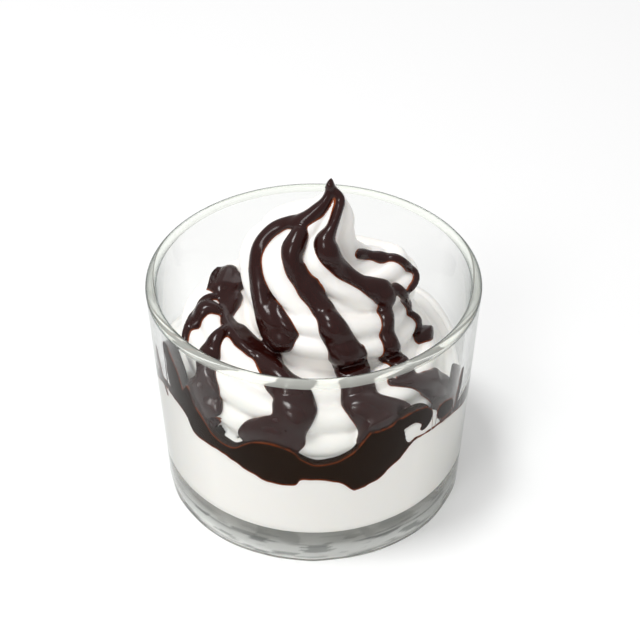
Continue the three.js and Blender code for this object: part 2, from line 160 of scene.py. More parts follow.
def use_modifier(piece, kind, **settings):
    """Adds a modifier, sets it and applies it."""
    modifier = piece.modifiers.new(kind.lower(), kind)
    for key, value in settings.items():
        setattr(modifier, key, value)
    bpy.context.view_layer.objects.active = piece
    with bpy.context.temp_override(object=piece, active_object=piece, selected_objects=[piece]):
        bpy.ops.object.modifier_apply(modifier=modifier.name)


def join(pieces, name):
    """Joins several pieces into the first one."""
    first = pieces[0]
    with bpy.context.temp_override(
            object=first, active_object=first,
            selected_objects=pieces, selected_editable_objects=pieces):
        bpy.ops.object.join()
    first.name = name
    first.data.name = name
    return first


# %% Helpers that read, move and mark the points of a mesh


def points_of(piece):
    """The piece's vertices in mm."""
    flat = np.empty(len(piece.data.vertices) * 3)
    piece.data.vertices.foreach_get("co", flat)
    return flat.reshape(-1, 3) / MM


def set_points(piece, points_mm):
    """Moves the piece's vertices to points in mm."""
    piece.data.vertices.foreach_set("co", (points_mm * MM).ravel())
    piece.data.update()


def normals_of(piece):
    """The piece's vertex normals."""
    flat = np.empty(len(piece.data.vertices) * 3)
    piece.data.vertices.foreach_get("normal", flat)
    return flat.reshape(-1, 3)


def shade_smooth(piece):
    """Smooth shading on every face."""
    piece.data.shade_smooth()


def lumps(points_mm, size, seed):
    """Soft noise between about -1 and 1 at each point, with lumps of a size in mm."""
    shift = Vector((seed * 17.3, seed * 5.1, seed * 9.7))
    return np.array([noise.noise(Vector(p) / size + shift) for p in points_mm])


def behind_wall(points_mm, gap, soft=1.2):
    """Holds points inside the wall with a gap in mm; what would cross is pressed flat."""
    reach = np.hypot(points_mm[:, 0], points_mm[:, 1])
    start = inner_radius(points_mm[:, 2]) - gap - soft
    over = np.maximum(reach - start, 0)
    held = np.where(over > 0, start + soft * (1 - np.exp(-over / soft)), reach)
    points_mm[:, :2] *= (held / np.maximum(reach, 1e-6))[:, None]
    return points_mm


def paint(piece, name, values):
    """Gives the piece a value at each vertex, which its material reads."""
    mark = piece.data.attributes.new(name, "FLOAT", "POINT")
    mark.data.foreach_set("value", np.asarray(values, np.float32))


def say(piece):
    """Prints what a piece measures."""
    points = points_of(piece)
    size = points.max(axis=0) - points.min(axis=0)
    print(piece.name, len(piece.data.polygons), "faces, mm:", np.round(size, 1))


# %% [markdown]
# ## Camera
# The photograph looks down at about 38 degrees from the front, through a long lens. A camera
# can be moved by hand until the pictures agree, but here its tilt and distance follow from the
# two ellipses that the rim and the foot make.

# %% Camera
LENS_ANGLE = 20
CAMERA_TILT = 38.05
CAMERA_DISTANCE = 472.1
LOOKS_AT = (1.6, 0, 49.5)

camera_data = bpy.data.cameras.new("camera")
camera_data.lens_unit = "FOV"
camera_data.angle = math.radians(LENS_ANGLE)
camera = bpy.data.objects.new("camera", camera_data)
bpy.context.scene.collection.objects.link(camera)
bpy.context.scene.camera = camera
tilt = math.radians(CAMERA_TILT)
camera.location = Vector((
    LOOKS_AT[0],
    LOOKS_AT[1] - CAMERA_DISTANCE * math.cos(tilt),
    LOOKS_AT[2] + CAMERA_DISTANCE * math.sin(tilt))) * MM
camera.rotation_euler = (math.pi / 2 - tilt, 0, 0)
print("camera at, m:", [round(v, 3) for v in camera.location])

# %% [markdown]
# ## The swirl
# A star nozzle pipes a fluted rope. It coils down round a peak that leans to the left and
# then curls to a tip on the right. It could be sculpted, but the flutes of a nozzle are even
# and easy to write down. A real swirl melts together where its turns touch, so the peak and
# the coil are made as closed forms that overlap, and one voxel remesh joins them.

# %% The swirl's named sizes
SWIRL_AXIS = (1, 1)
PEAK = [  # height, x of its middle, radius, turn of its flutes in degrees
    (28, 3, 22, 160), (40, 3, 22, 130), (50, 2.5, 21, 98), (56, 1.5, 19.5, 80), (62, 0.3, 19, 61),
    (67, -1.4, 17.6, 45), (72, -3.4, 15.2, 35), (76, -3, 13.5, 28), (79, -0.9, 11.1, 24),
    (82, 2.2, 8, 21), (85.5, 4.2, 5, 18), (88.6, 4.7, 2.5, 17), (90.6, 4.4, 1.4, 16),
    (92.5, 3.7, 0.3, 16),
]
PEAK_FLUTES = 6
PEAK_FLUTE_DEPTH = 0.3
COIL = [  # degrees along the coil, distance from the axis, height, radius of the rope
    (45, 8, 61, 8), (75, 12.5, 60, 9.5), (105, 17, 58.3, 10.3), (140, 16, 55, 10),
    (180, 14, 54, 10), (270, 9, 55, 9.5), (360, 12.5, 56, 10.5), (450, 16, 47.5, 10),
    (495, 17.5, 45, 10), (540, 20, 45, 10.5), (585, 23, 46, 10.4), (630, 25.4, 46, 11),
    (675, 26.8, 43.5, 11.3), (720, 27, 38.7, 11.5), (765, 26, 38.5, 10.5), (810, 24, 37, 9.6),
    (880, 25, 34, 10), (920, 25, 31, 7),
]
COIL_FLUTES = 8
COIL_FLUTE_DEPTH = 0.2
COIL_FLUTE_TWIST = 0.12
SWIRL_FLOOR = 31
GROOVE_SHARPNESS = 0.75
TIP_CROWDING = 1.5
peak_at = through(PEAK)
coil_at = through(COIL)
print("turns of the coil:", round((COIL[-1][0] - COIL[0][0]) / 360, 2))


def fluted(angle, count, depth):
    """How far out a fluted outline reaches: round ridges with sharp grooves."""
    return 1 - depth + depth * np.abs(np.cos(count * angle / 2)) ** GROOVE_SHARPNESS


# %% [markdown]
# The swirl was piped onto a layer of fudge, so its foot spreads out along the edge that the
# layer makes at the wall. That edge could be modelled twice, but then the two would never quite
# meet, so one list of heights round the glass serves both. Its front half follows the
# photograph, and its hidden half goes on in the same manner.

# %% Where the fudge layer's edges meet the wall
LAYER_BOTTOM = 30
LAYER_TOP = 36.5
WALL_BAND = [  # angle, lower edge, upper edge
    (-180, 30, 37), (-150, 28, 38), (-120, 31, 37), (-95, 33, 41), (-76, 38, 43),
    (-68, 40, 43), (-60, 39.4, 43), (-56, 38.6, 44), (-53, 37.2, 47), (-50.5, 34, 49),
    (-48, 33.2, 44.6), (-44, 32.7, 41.3), (-40, 32.7, 37.9), (-35, 32.1, 36.1),
    (-31, 31.1, 35.9), (-27, 29.8, 37.7), (-22, 28.3, 40.1), (-16, 26.9, 40.9),
    (-9, 26.7, 39.7), (-6.3, 27.4, 38.2), (-5, 29.2, 37), (-1, 29.3, 35.1), (3, 29.1, 34.7),
    (9, 27.9, 35.7), (12.5, 26, 37), (15, 24.3, 38.4), (18, 24.7, 41.2), (21, 25.4, 43.6),
    (25, 26.4, 43.5), (29, 29, 43.9), (33, 30.7, 45.2), (36, 32.8, 36.4), (40, 35.1, 36.2),
    (44, 35, 36), (52, 34.8, 36), (60, 34, 36), (75, 31, 37), (100, 28, 36), (130, 31, 39),
    (158, 27, 35), (180, 30, 37),
]
PLACES = 840
wall_angles = np.linspace(-180, 180, PLACES, endpoint=False)
band_low, band_high = through(WALL_BAND)(wall_angles).T
print("fudge on the wall from", band_low.min(), "to", band_high.max(), "mm")


# %% The peak and the rope
def peak_grid(levels=170, places=264):
    """Rings of the peak from its foot to its tip, closer together near the tip."""
    low, high = PEAK[0][0], PEAK[-1][0]
    height = low + (high - low) * (1 - (1 - np.linspace(0, 1, levels)) ** TIP_CROWDING)
    middle, radius, turn = peak_at(height).T
    angle = np.linspace(0, 360, places, endpoint=False)
    from_ridge = np.radians(angle[None, :] - turn[:, None])
    reach = radius[:, None] * fluted(from_ridge, PEAK_FLUTES, PEAK_FLUTE_DEPTH)
    grid = around(angle[None, :], reach, height[:, None], (0, SWIRL_AXIS[1]))
    grid[..., 0] += middle[:, None]
    return grid


def coil_grid(start, end, places=160):
    """Rings of the rope between two angles along the coil."""
    along = np.arange(start, end + 0.1, 2)
    distance, height, radius = coil_at(along).T
    angle = np.linspace(0, 2 * math.pi, places, endpoint=False)
    from_ridge = angle[None, :] - np.radians(along * COIL_FLUTE_TWIST)[:, None]
    reach = radius[:, None] * fluted(from_ridge, COIL_FLUTES, COIL_FLUTE_DEPTH)
    out = np.maximum(distance[:, None] + reach * np.cos(angle), 1)
    up = np.maximum(height[:, None] + reach * np.sin(angle), SWIRL_FLOOR)
    return around(along[:, None], out, up, SWIRL_AXIS)


COIL_PART = 180
COIL_OVERLAP = 4
coil_pieces = [
    closed_tube("coil", coil_grid(start, min(start + COIL_PART + COIL_OVERLAP, COIL[-1][0])))
    for start in range(COIL[0][0], COIL[-1][0], COIL_PART)
]
print("parts of the rope:", len(coil_pieces))

# %% The foot that spreads over the fudge, joined with the peak and the rope
FRONT_MIDDLE = -12
FRONT_ENDS = (62, 80)
FOOT_BELOW_EDGE = 0.1
FOOT_RAISED_BEHIND = 1.1
FOOT_FROM_WALL = 0.8
FOOT_CLOSER_BEHIND = 0.2
FOOT_PROFILE = (  # inward from the wall, up from the edge
    (0, -4), (0, -0.5), (0.7, 0), (2.5, 0.6), (6, 1.1), (14, 1.7), (34, 2))
VOXEL = 0.5


def foot_of_swirl():
    """Ice cream that has spread from the swirl almost to the wall, low at the front."""
    hidden_side = smooth_step(np.abs(wall_angles - FRONT_MIDDLE), *FRONT_ENDS)
    edge = band_high - FOOT_BELOW_EDGE + FOOT_RAISED_BEHIND * hidden_side
    from_wall = FOOT_FROM_WALL - FOOT_CLOSER_BEHIND * hidden_side
    return closed_tube("foot", np.array([
        around(wall_angles, inner_radius(edge) - from_wall - inward, edge + rise)
        for inward, rise in FOOT_PROFILE]))


swirl = join([closed_tube("peak", peak_grid()), foot_of_swirl()] + coil_pieces, "swirl")
use_modifier(swirl, "REMESH", mode="VOXEL", voxel_size=VOXEL * MM)
use_modifier(swirl, "SMOOTH", factor=0.5, iterations=3)
say(swirl)

# %% [markdown]
# Soft ice cream isn't perfectly smooth: it is a little uneven from the nozzle, and it has a
# fine dull grain where it has begun to melt. Both are real relief here, moved into the mesh,
# because bump alone would leave a clean outline. The wall presses flat what would cross it.

# %% Unevenness of the ice cream
UNEVEN = ((9, 0.35), (3, 0.10), (1.2, 0.035))  # size of the lumps, how far they stand out
SMOOTH_TIP = 12
SWIRL_GAP = 0.5
points = points_of(swirl)
normals = normals_of(swirl)
relief = sum(deep * lumps(points, size, seed) for seed, (size, deep) in enumerate(UNEVEN))
keep_tip = smooth_step(PEAK[-1][0] - points[:, 2], 0, SMOOTH_TIP)
set_points(swirl, behind_wall(points + normals * (relief * keep_tip)[:, None], SWIRL_GAP))
shade_smooth(swirl)
print("relief, mm:", np.round([relief.min(), relief.max()], 2))

# %% [markdown]
# ## Strands of fudge
# Warm fudge is thick. It runs down the swirl in rounded strands, bridges the narrow grooves
# and gathers in drops. A curve with a round bevel would float over the grooves and vanish in
# the ridges. So each strand is laid on a smoothed copy of the swirl, where it spans the
# grooves as a thick liquid does, and its underside sinks into the ice cream.

# %% Where each strand runs
STRANDS = {  # angle, distance from the glass's axis, height, width
    "front_left": [
        (80, 3.8, 92.9, 0.9), (90, 4.2, 91.2, 1.7), (69, 3.5, 88.6, 2.2), (44, 2.7, 86.7, 3),
        (-11, 2.6, 84.6, 3.5), (-47, 4.2, 82.5, 3.6), (-80, 6.3, 80.9, 3.2), (-84, 9.6, 79.6, 3.1),
        (-78, 13.2, 76.6, 3.2), (-72, 14.7, 73.4, 3.5), (-66, 15.3, 70, 4), (-59, 15.6, 67.1, 4.5),
        (-52, 16.3, 64.4, 4.9), (-43, 17.2, 61.6, 6.2), (-32, 17.7, 58.6, 7.8), (-23, 19.8, 56.8, 8.4),
        (-18, 20.4, 54.4, 6.6),
    ],
    "front_left_film": [
        (-47, 14.7, 64.5, 2), (-30, 17, 62.6, 3.4), (-20, 19, 60.4, 4), (-17, 20, 57.2, 4),
    ],
    "front": [
        (-33, 5, 82.6, 3), (-31, 5.9, 82, 3.6), (-30, 9.4, 79.6, 4.5), (-29, 11.3, 77.4, 4.3),
        (-24, 12, 74.6, 4.2), (-17, 12.2, 71.7, 4.2), (-9, 12.5, 69.8, 4.8), (2, 13.9, 67, 4.9),
        (10, 16, 64, 4.8), (14, 19.6, 61.8, 5.8), (19, 21.6, 57.8, 6.6), (22, 23.4, 53.6, 7.9),
        (24, 26, 50.6, 7.2), (23, 28.5, 48.6, 7.8), (22, 32.2, 47, 8.2), (25, 34, 45.6, 9.6),
        (28, 35.7, 42.4, 13.5), (30, 36.7, 39.4, 18), (27, 36.5, 35, 13),
    ],
    "front_right": [
        (88, 4.9, 90.7, 1.3), (86, 6.5, 88, 2.1), (66, 6.8, 86.4, 2.2), (48, 7.1, 84.4, 2.1),
        (34, 7.6, 82.4, 2.6), (18, 8.6, 80.4, 4.6), (25, 10.5, 77.1, 5.1), (39, 11.2, 72.3, 4.6),
        (51, 13.5, 68.9, 3.8), (60, 16, 66.2, 4.4), (68, 18.8, 63.6, 5.6), (66, 20, 60.4, 4.1),
        (58, 21.5, 58.6, 3.7), (54, 22.6, 55.8, 3.8), (52, 24.4, 52.8, 4.4), (53, 27.3, 48.3, 5.4),
        (50, 30.5, 46.9, 7),
    ],
    "right": [
        (77, 19.8, 64, 2.6), (80, 22.2, 61.6, 2.1), (87, 24.1, 56.3, 2), (89, 25.8, 51.4, 2.1),
        (90, 27.4, 46.8, 4.6), (87, 28.8, 45.6, 9.2), (85, 31, 45.2, 8.6),
    ],
    "over_shoulder": [
        (80, 10.4, 72, 1.6), (94, 13.1, 70, 2.5), (95, 16, 68.9, 2.9), (97, 18.6, 67.4, 2.8),
        (94, 21.8, 66.6, 2.1), (98, 24.6, 63.6, 1.8), (97, 26, 62, 1.8), (90, 25.4, 61.2, 1.8),
        (83, 23.8, 61.2, 1.6),
    ],
    "left": [
        (-124, 24.8, 56.2, 3), (-117, 24.8, 56.3, 6), (-108, 24.2, 56.1, 7.4),
        (-101, 23.7, 55.9, 7), (-94, 23, 55.1, 4), (-86, 22.7, 55, 2.3),
        (-74, 23.4, 54.7, 2.4), (-65, 23.9, 54.7, 3.9), (-57, 23.2, 53.6, 5.2),
        (-46, 22.9, 52.8, 5.9), (-36, 22.8, 52.1, 6.3), (-25, 24.7, 52, 6.3), (-18, 27.3, 51.4, 6.2),
        (-11, 29.6, 50.2, 7.6), (-8, 32.4, 48.4, 9.6), (-7, 34.8, 46.2, 7.6), (-7, 35.8, 43.6, 5.2),
        (-12, 36.2, 41.2, 11), (-14, 37.4, 38.9, 14.5),
    ],
    "left_side": [
        (-100, 19.8, 56, 1.8), (-90, 20.2, 55.8, 2.7), (-81, 21.3, 55.4, 2.2), (-74, 23.1, 54.6, 1.8),
    ],
    "left_low": [
        (-66, 24.2, 55.4, 2), (-61, 26.2, 55.4, 2.4), (-59, 29, 54.6, 3.7), (-57, 31, 52.6, 4.8),
        (-52, 34, 51.7, 4.8), (-49, 35.6, 48.6, 6.2), (-48, 36.2, 44.6, 6.8),
        (-45, 36.7, 40.9, 7.4), (-43, 37, 37, 6.5),
    ],
    "left_loop": [
        (-76, 24.2, 55.6, 2), (-82, 26.7, 56.3, 4), (-82, 29, 55.3, 4.6), (-79, 30.8, 53.6, 3.6),
        (-75, 32.3, 52.6, 2.4),
    ],
    "left_thin": [
        (-92, 24.6, 56.6, 1.8), (-90, 27, 56.8, 1.9), (-88, 29.6, 55.4, 1.9), (-83, 31.6, 53.6, 1.9),
        (-74, 34, 52, 1.9), (-68, 35.6, 50, 2),
    ],
    "low_right": [
        (40, 28.6, 48.4, 1.5), (44, 30.4, 47.2, 2), (50, 32.3, 46.7, 3.2), (57, 33.8, 43.9, 5.6),
        (62, 34.9, 41.2, 8.2), (68, 35.6, 39.8, 7.5), (74, 35, 40, 4),
    ],
    "pool": [
        (-30, 37, 39.5, 2), (-24, 37, 40.8, 6), (-16, 36.4, 41.6, 8), (-9, 36.6, 41, 7.5),
        (-3, 37, 40, 4),
    ],
    "back_left": [
        (-178, 12.5, 75, 3), (-160, 15, 69.5, 4.6), (-150, 18.5, 63, 5.6), (-145, 25, 57.5, 5.6),
        (-150, 31, 49, 6), (-152, 34, 41, 5),
    ],
    "back": [
        (175, 11, 78, 4), (-176, 14, 72, 5),
        (-177, 18.5, 63, 6), (176, 24, 56, 6.6), (170, 29, 49, 5.6), (172, 32, 42, 5),
    ],
    "back_right": [
        (162, 24.5, 58, 2.6), (156, 26.6, 55.6, 4.4), (148, 28, 49, 5),
        (145, 31, 44, 6.4), (143, 34, 39, 5),
    ],
}
print("strands:", len(STRANDS))

# %% A smoothed copy of the swirl to lay the strands on
guide = bpy.data.objects.new("guide", swirl.data.copy())
bpy.context.scene.collection.objects.link(guide)
use_modifier(guide, "SMOOTH", factor=0.5, iterations=24)
guide_mesh = guide.data
guide_tree = BVHTree.FromPolygons(
    [v.co / MM for v in guide_mesh.vertices], [p.vertices for p in guide_mesh.polygons])


def on_guide(point):
    """The nearest place on the guide, with the direction out of it."""
    spot, normal, _, _ = guide_tree.find_nearest(Vector(point))
    return np.array(spot), np.array(normal)


def curve_points(rows, step=0.8):
    """Even points along a smooth line through the rows, and the width at each."""
    rows = np.array(rows, float)
    knots = around(rows[:, 0], rows[:, 1], rows[:, 2])
    chord = np.sqrt(np.linalg.norm(np.diff(knots, axis=0), axis=1))
    at = np.concatenate([[0], np.cumsum(chord)])
    line = through(np.column_stack([at, knots, rows[:, 3]]))
    fine = line(np.linspace(0, at[-1], 400))
    run = np.concatenate([[0], np.cumsum(np.linalg.norm(np.diff(fine[:, :3], axis=0), axis=1))])
    stops = np.linspace(0, run[-1], max(int(run[-1] / step), 4))
    return np.column_stack([np.interp(stops, run, fine[:, k]) for k in range(4)]), stops


def smooth_along(values, times):
    """Evens out rows of values along a line, its two ends kept."""
    for _ in range(times):
        values[1:-1] = 0.25 * values[:-2] + 0.5 * values[1:-1] + 0.25 * values[2:]
    return values


print("guide:", len(guide_mesh.polygons), "faces")

# %% Lay a strand's line on the guide
STRAND_THINNEST = 0.8
STRAND_FATTER_PER_WIDTH = 0.24
STRAND_THICKEST = 3
STRAND_SPREAD = 1.2
EDGE_LOST = 0.35
UNEVEN_WIDTH = 0.13
UNEVEN_LENGTH = 4
FREE_OF_GUIDE = (87, 91)
print("strands are up to", STRAND_THICKEST, "mm thick")


def laid_line(rows, seed):
    """Places along a strand, the ways out and across there, its widths and thicknesses."""
    line, run = curve_points(rows)
    uneven = np.array([noise.noise(Vector((s / UNEVEN_LENGTH, seed, 0))) for s in run])
    width = (line[:, 3] * STRAND_SPREAD + EDGE_LOST) * (1 + UNEVEN_WIDTH * uneven)
    on_it = [on_guide(place) for place in line[:, :3]]
    near_tip = smooth_step(line[:, 2:3], *FREE_OF_GUIDE)
    spots = np.array([spot for spot, _ in on_it]) * (1 - near_tip) + line[:, :3] * near_tip
    spots = smooth_along(spots, 3)
    outs = smooth_along(np.array([out for _, out in on_it]), 8)
    forward = np.gradient(spots, axis=0)
    forward /= np.linalg.norm(forward, axis=1)[:, None]
    outs -= forward * np.sum(outs * forward, axis=1)[:, None]
    outs /= np.linalg.norm(outs, axis=1)[:, None]
    sides = np.cross(forward, outs)
    from_end = np.minimum(run, run[-1] - run)
    round_end = np.sqrt(1 - (1 - np.clip(from_end / (0.5 * width), 0.04, 1)) ** 2)
    width = width * round_end
    thick = np.minimum(STRAND_THINNEST + STRAND_FATTER_PER_WIDTH * width, STRAND_THICKEST)
    thick *= round_end
    return spots, outs, sides, width, thick


# %% Make the strands
STRAND_SUNK = 1.8
STRAND_PLACES = 20
STRAND_VOXEL = 0.4
STRAND_GAP = 0.3
LOOK_FROM = 4
MOST_DOWN = 0.4
MOST_UP = 0.25


def strand_grid(rows, seed):
    """Rings of a strand whose underside follows the guide and sinks into it."""
    spots, outs, sides, width, thick = laid_line(rows, seed)
    angle = np.linspace(0, 2 * math.pi, STRAND_PLACES, endpoint=False)
    grid = np.empty((len(spots), STRAND_PLACES, 3))
    for i, spot in enumerate(spots):
        for k, a in enumerate(angle):
            across = spot + sides[i] * (0.5 * width[i] * math.cos(a))
            start = Vector(across + outs[i] * LOOK_FROM)
            hit, _, _, _ = guide_tree.ray_cast(start, Vector(-outs[i]), 2 * LOOK_FROM)
            foot = across
            if hit is not None:
                drop = float(np.dot(np.array(hit) - across, outs[i]))
                drop = np.clip(drop, -MOST_DOWN * width[i], MOST_UP * width[i])
                foot = across + outs[i] * drop
            lift = thick[i] if math.sin(a) > 0 else STRAND_SUNK
            grid[i, k] = foot + outs[i] * lift * math.sin(a)
    return grid


strand_pieces = [
    closed_tube("strand_" + name, strand_grid(rows, seed))
    for seed, (name, rows) in enumerate(STRANDS.items())
]
fudge = join(strand_pieces, "fudge_strands")
use_modifier(fudge, "REMESH", mode="VOXEL", voxel_size=STRAND_VOXEL * MM)
use_modifier(fudge, "SMOOTH", factor=0.5, iterations=8)
set_points(fudge, behind_wall(points_of(fudge), STRAND_GAP))
shade_smooth(fudge)
say(fudge)

# %% [markdown]
# At its edge a strand gets thin, and light that passes through it turns orange-brown. How thin
# the fudge is at a point is its distance from the ice cream, so that distance is measured and
# painted on the mesh, where the finish can read it.

# %% Where the fudge is thin
THINNEST = 0.15
THIN_EDGE = 0.55
swirl_tree = BVHTree.FromPolygons(
    [v.co / MM for v in swirl.data.vertices], [p.vertices for p in swirl.data.polygons])
depth = np.array([swirl_tree.find_nearest(Vector(p))[3] for p in points_of(fudge)])
paint(fudge, "thin", 1 - smooth_step(depth, THINNEST, THIN_EDGE))
print("thin part of the strands:", round(float((depth < THIN_EDGE).mean()), 2))
bpy.data.objects.remove(guide)

# %% [markdown]
# ## Fudge and ice cream against the wall
# Seen through the glass, the fudge is a dark band with a wavy edge above and below, a hook on
# the right, and smears where a strand has run down the wall. Food wets the glass, so both
# pieces reach a hair's breadth into the wall: with an air gap there they would look grey and
# far away. The white piece fills the whole ring, and the fudge stands a tenth of a millimetre
# further out wherever a drawn outline says so. That keeps every edge crisp without a cut.

# %% Where fudge and ice cream touch the wall beside the band
SMEARS = {  # angle, height, half of the width
    "hook": [(29, 41.5, 2), (34, 43.2, 2.2), (40, 43.4, 2.3), (44, 41.8, 2.4),
             (45.2, 39.6, 1.9), (43.5, 38, 1.1)],
    "left_wall": [(-63, 56, 1.6), (-60, 50, 3), (-59, 46, 3.6), (-57, 42.5, 3)],
    "left_edge": [(-74, 50, 0.8), (-72, 44, 1.1), (-67, 38, 0.7)],
    "right_short": [(54, 39.3, 2.6), (56, 38.6, 2.7), (58, 38.4, 2.5)],
    "right_long": [(67, 46.5, 0.8), (66, 41, 1.2), (64, 35.5, 0.8)],
}
WHITE_TOP = [  # angle, how high the white touches the wall where no fudge is in front of it
    (-180, 38.5), (-150, 39.5), (-120, 38.5), (-95, 42.5), (-76, 43), (-68, 41), (-58, 41.5),
    (-52, 40), (-40, 35), (-31, 34), (-16, 36), (-2, 32), (9, 33), (20, 38), (30, 41),
    (40, 41.5), (47, 41.8), (50, 41), (53, 36), (60, 35), (66, 37), (75, 38.5), (100, 37.5),
    (130, 40.5), (158, 36.5), (180, 38.5),
]
white_top = through(WHITE_TOP)(wall_angles)[:, 0]
MM_PER_DEGREE = math.radians(inner_radius(38))


def along_smear(rows, steps=60):
    """Points along a smear: angle, height and half of the width."""
    rows = np.array(rows, float)
    line = through(np.column_stack([np.arange(len(rows)), rows]))
    return line(np.linspace(0, len(rows) - 1, steps))


# %% How high the smears reach
smear_top = band_high.copy()
for rows in SMEARS.values():
    for angle, height, half in along_smear(rows):
        apart = np.abs(wall_angles - angle) * MM_PER_DEGREE
        top = height + np.sqrt(np.clip(half**2 - apart**2, 0, None))
        smear_top = np.where(apart < half, np.maximum(smear_top, top), smear_top)
print("highest fudge on the wall, mm:", round(float(smear_top.max()), 1))

# %% The soft ice cream in the lower half
LEVEL_MIDDLE = 14
INTO_WALL = 0.12
FLOOR_CAP = 2
LIP_INWARD = (1.2, 3, 6)
LIP_SLOPE = 0.4
UNDER_LIP = 4


def layer_face(edge, level, parts):
    """Rings of a face that is level in the middle and meets the wall at its edge's heights."""
    far = inner_radius(edge)
    rings = []
    for part in parts:
        distance = far * part
        reach = smooth_step(distance, LEVEL_MIDDLE, inner_radius(LAYER_TOP))
        rings.append(around(wall_angles, distance, level + (edge - level) * reach))
    return rings


floor = FLOOR_THICKNESS - INTO_WALL
corner_top = floor + INNER_CORNER
corner_middle = inner_radius(corner_top) - INNER_CORNER
base_rings = [around(wall_angles, FLOOR_CAP, floor)]
for a in np.radians(np.linspace(-90, 0, 12)):
    base_rings.append(around(
        wall_angles, corner_middle + INTO_WALL + INNER_CORNER * math.cos(a),
        corner_top + INNER_CORNER * math.sin(a)))
for rise in np.linspace(0.06, 1, 18):
    height = corner_top + (white_top - corner_top) * rise
    base_rings.append(around(wall_angles, inner_radius(height) + INTO_WALL, height))
for inward in LIP_INWARD:
    height = white_top - LIP_SLOPE * inward
    base_rings.append(around(wall_angles, inner_radius(height) - inward, height))
base_rings += layer_face(white_top - UNDER_LIP, LAYER_BOTTOM, np.linspace(0.8, 0.04, 12))
ice_base = closed_tube("ice_cream_fill", np.array(base_rings))
shade_smooth(ice_base)
say(ice_base)

# %% [markdown]
# The side of the fudge layer is a fine grid round the glass. For each of its points the next
# cell finds how far inside a drawn outline it lies: the band or a smear. A little noise makes
# the outlines ragged, as a thick sauce leaves them. Points inside stand against the glass, and
# the others stay behind it, where the white piece covers them.

# %% Where the fudge touches the wall
ROWS_UP = 80
SIDE_BELOW = 1.5
SIDE_ABOVE = 0.4
RAGGED_SIZE = 2.4
RAGGED_DEPTH = 0.3
side_low = np.minimum(band_low, LAYER_BOTTOM) - SIDE_BELOW
side_high = smear_top + SIDE_ABOVE
side_height = side_low + (side_high - side_low) * np.linspace(0, 1, ROWS_UP)[:, None]
touching = np.minimum(side_height - band_low, band_high - side_height)
for rows in SMEARS.values():
    for angle, height, half in along_smear(rows):
        apart = np.hypot((wall_angles - angle) * MM_PER_DEGREE, side_height - height)
        touching = np.maximum(touching, half - apart)
ragged_at = np.stack(np.broadcast_arrays(wall_angles * MM_PER_DEGREE, side_height, 0), axis=-1)
ragged = lumps(ragged_at.reshape(-1, 3), RAGGED_SIZE, 3).reshape(side_height.shape)
touching = touching + RAGGED_DEPTH * ragged
print("part of the fudge's side that touches:", round(float((touching > 0).mean()), 2))

# %% The fudge layer
CRISP = 0.14
BEHIND = 0.9
FURTHER_OUT = 2 * INTO_WALL
SMEAR_IN = 2 * BEHIND
FOOT_IN = 2.4 * BEHIND
SMEAR_ROUND = 0.2
out_or_back = smooth_step(touching, -CRISP, CRISP)
step_back = (BEHIND + FURTHER_OUT) * (1 - out_or_back)
side_radius = inner_radius(side_height) + FURTHER_OUT - step_back
side_rings = around(wall_angles, side_radius, side_height)
low_rings = layer_face(side_low, LAYER_BOTTOM - 1, np.linspace(0.04, 0.9, 12))
smear_back = around(wall_angles, inner_radius(side_high) - SMEAR_IN, side_high - SMEAR_ROUND)
smear_foot = around(wall_angles, inner_radius(band_high) - FOOT_IN, band_high + SMEAR_ROUND)
high_rings = layer_face(band_high, LAYER_TOP, np.linspace(0.9, 0.04, 12))
layer = closed_tube("fudge_band", np.array(
    low_rings + list(side_rings) + [smear_back, smear_foot] + high_rings))
shade_smooth(layer)
say(layer)

# %% The orange edges of the layer, wider below than above
FILM_BELOW = 1.2
FILM_LESS_ABOVE = 0.8
thin = np.zeros(len(layer.data.vertices))
first_side = len(low_rings) * PLACES
upper_half = smooth_step(side_height - 0.5 * (band_low + band_high), -1, 1)
film = FILM_BELOW - FILM_LESS_ABOVE * upper_half
edge_of_film = (1 - smooth_step(touching, CRISP, film)) * smooth_step(touching, 0, CRISP)
thin[first_side:first_side + touching.size] = edge_of_film.ravel()
paint(layer, "thin", thin)
print("thin part of the layer's side:", round(float((edge_of_film > 0.5).mean()), 2))

# %% [markdown]
# ## The glass
# A pressed tumbler: straight wall, round rim, thick bottom with a rounded corner inside and a
# shallow hollow below. A lathe does it best: one profile turned round the axis in many steps,
# because glass shows every facet in its reflections.

# %% The outline of the glass


def arc(middle, height, radius, start, end, steps):
    """Points on an arc between two angles in degrees."""
    a = np.radians(np.linspace(start, end, steps + 1))
    return np.column_stack([middle + radius * np.cos(a), height + radius * np.sin(a)])


HOLLOW_UNDER = 0.7
HOLLOW_ENDS = (31, 34.5)
MIDDLE_CAP = 0.5
OUTSIDE_ROWS = 120
INSIDE_ROWS = 12
UNDER_ROWS = 40


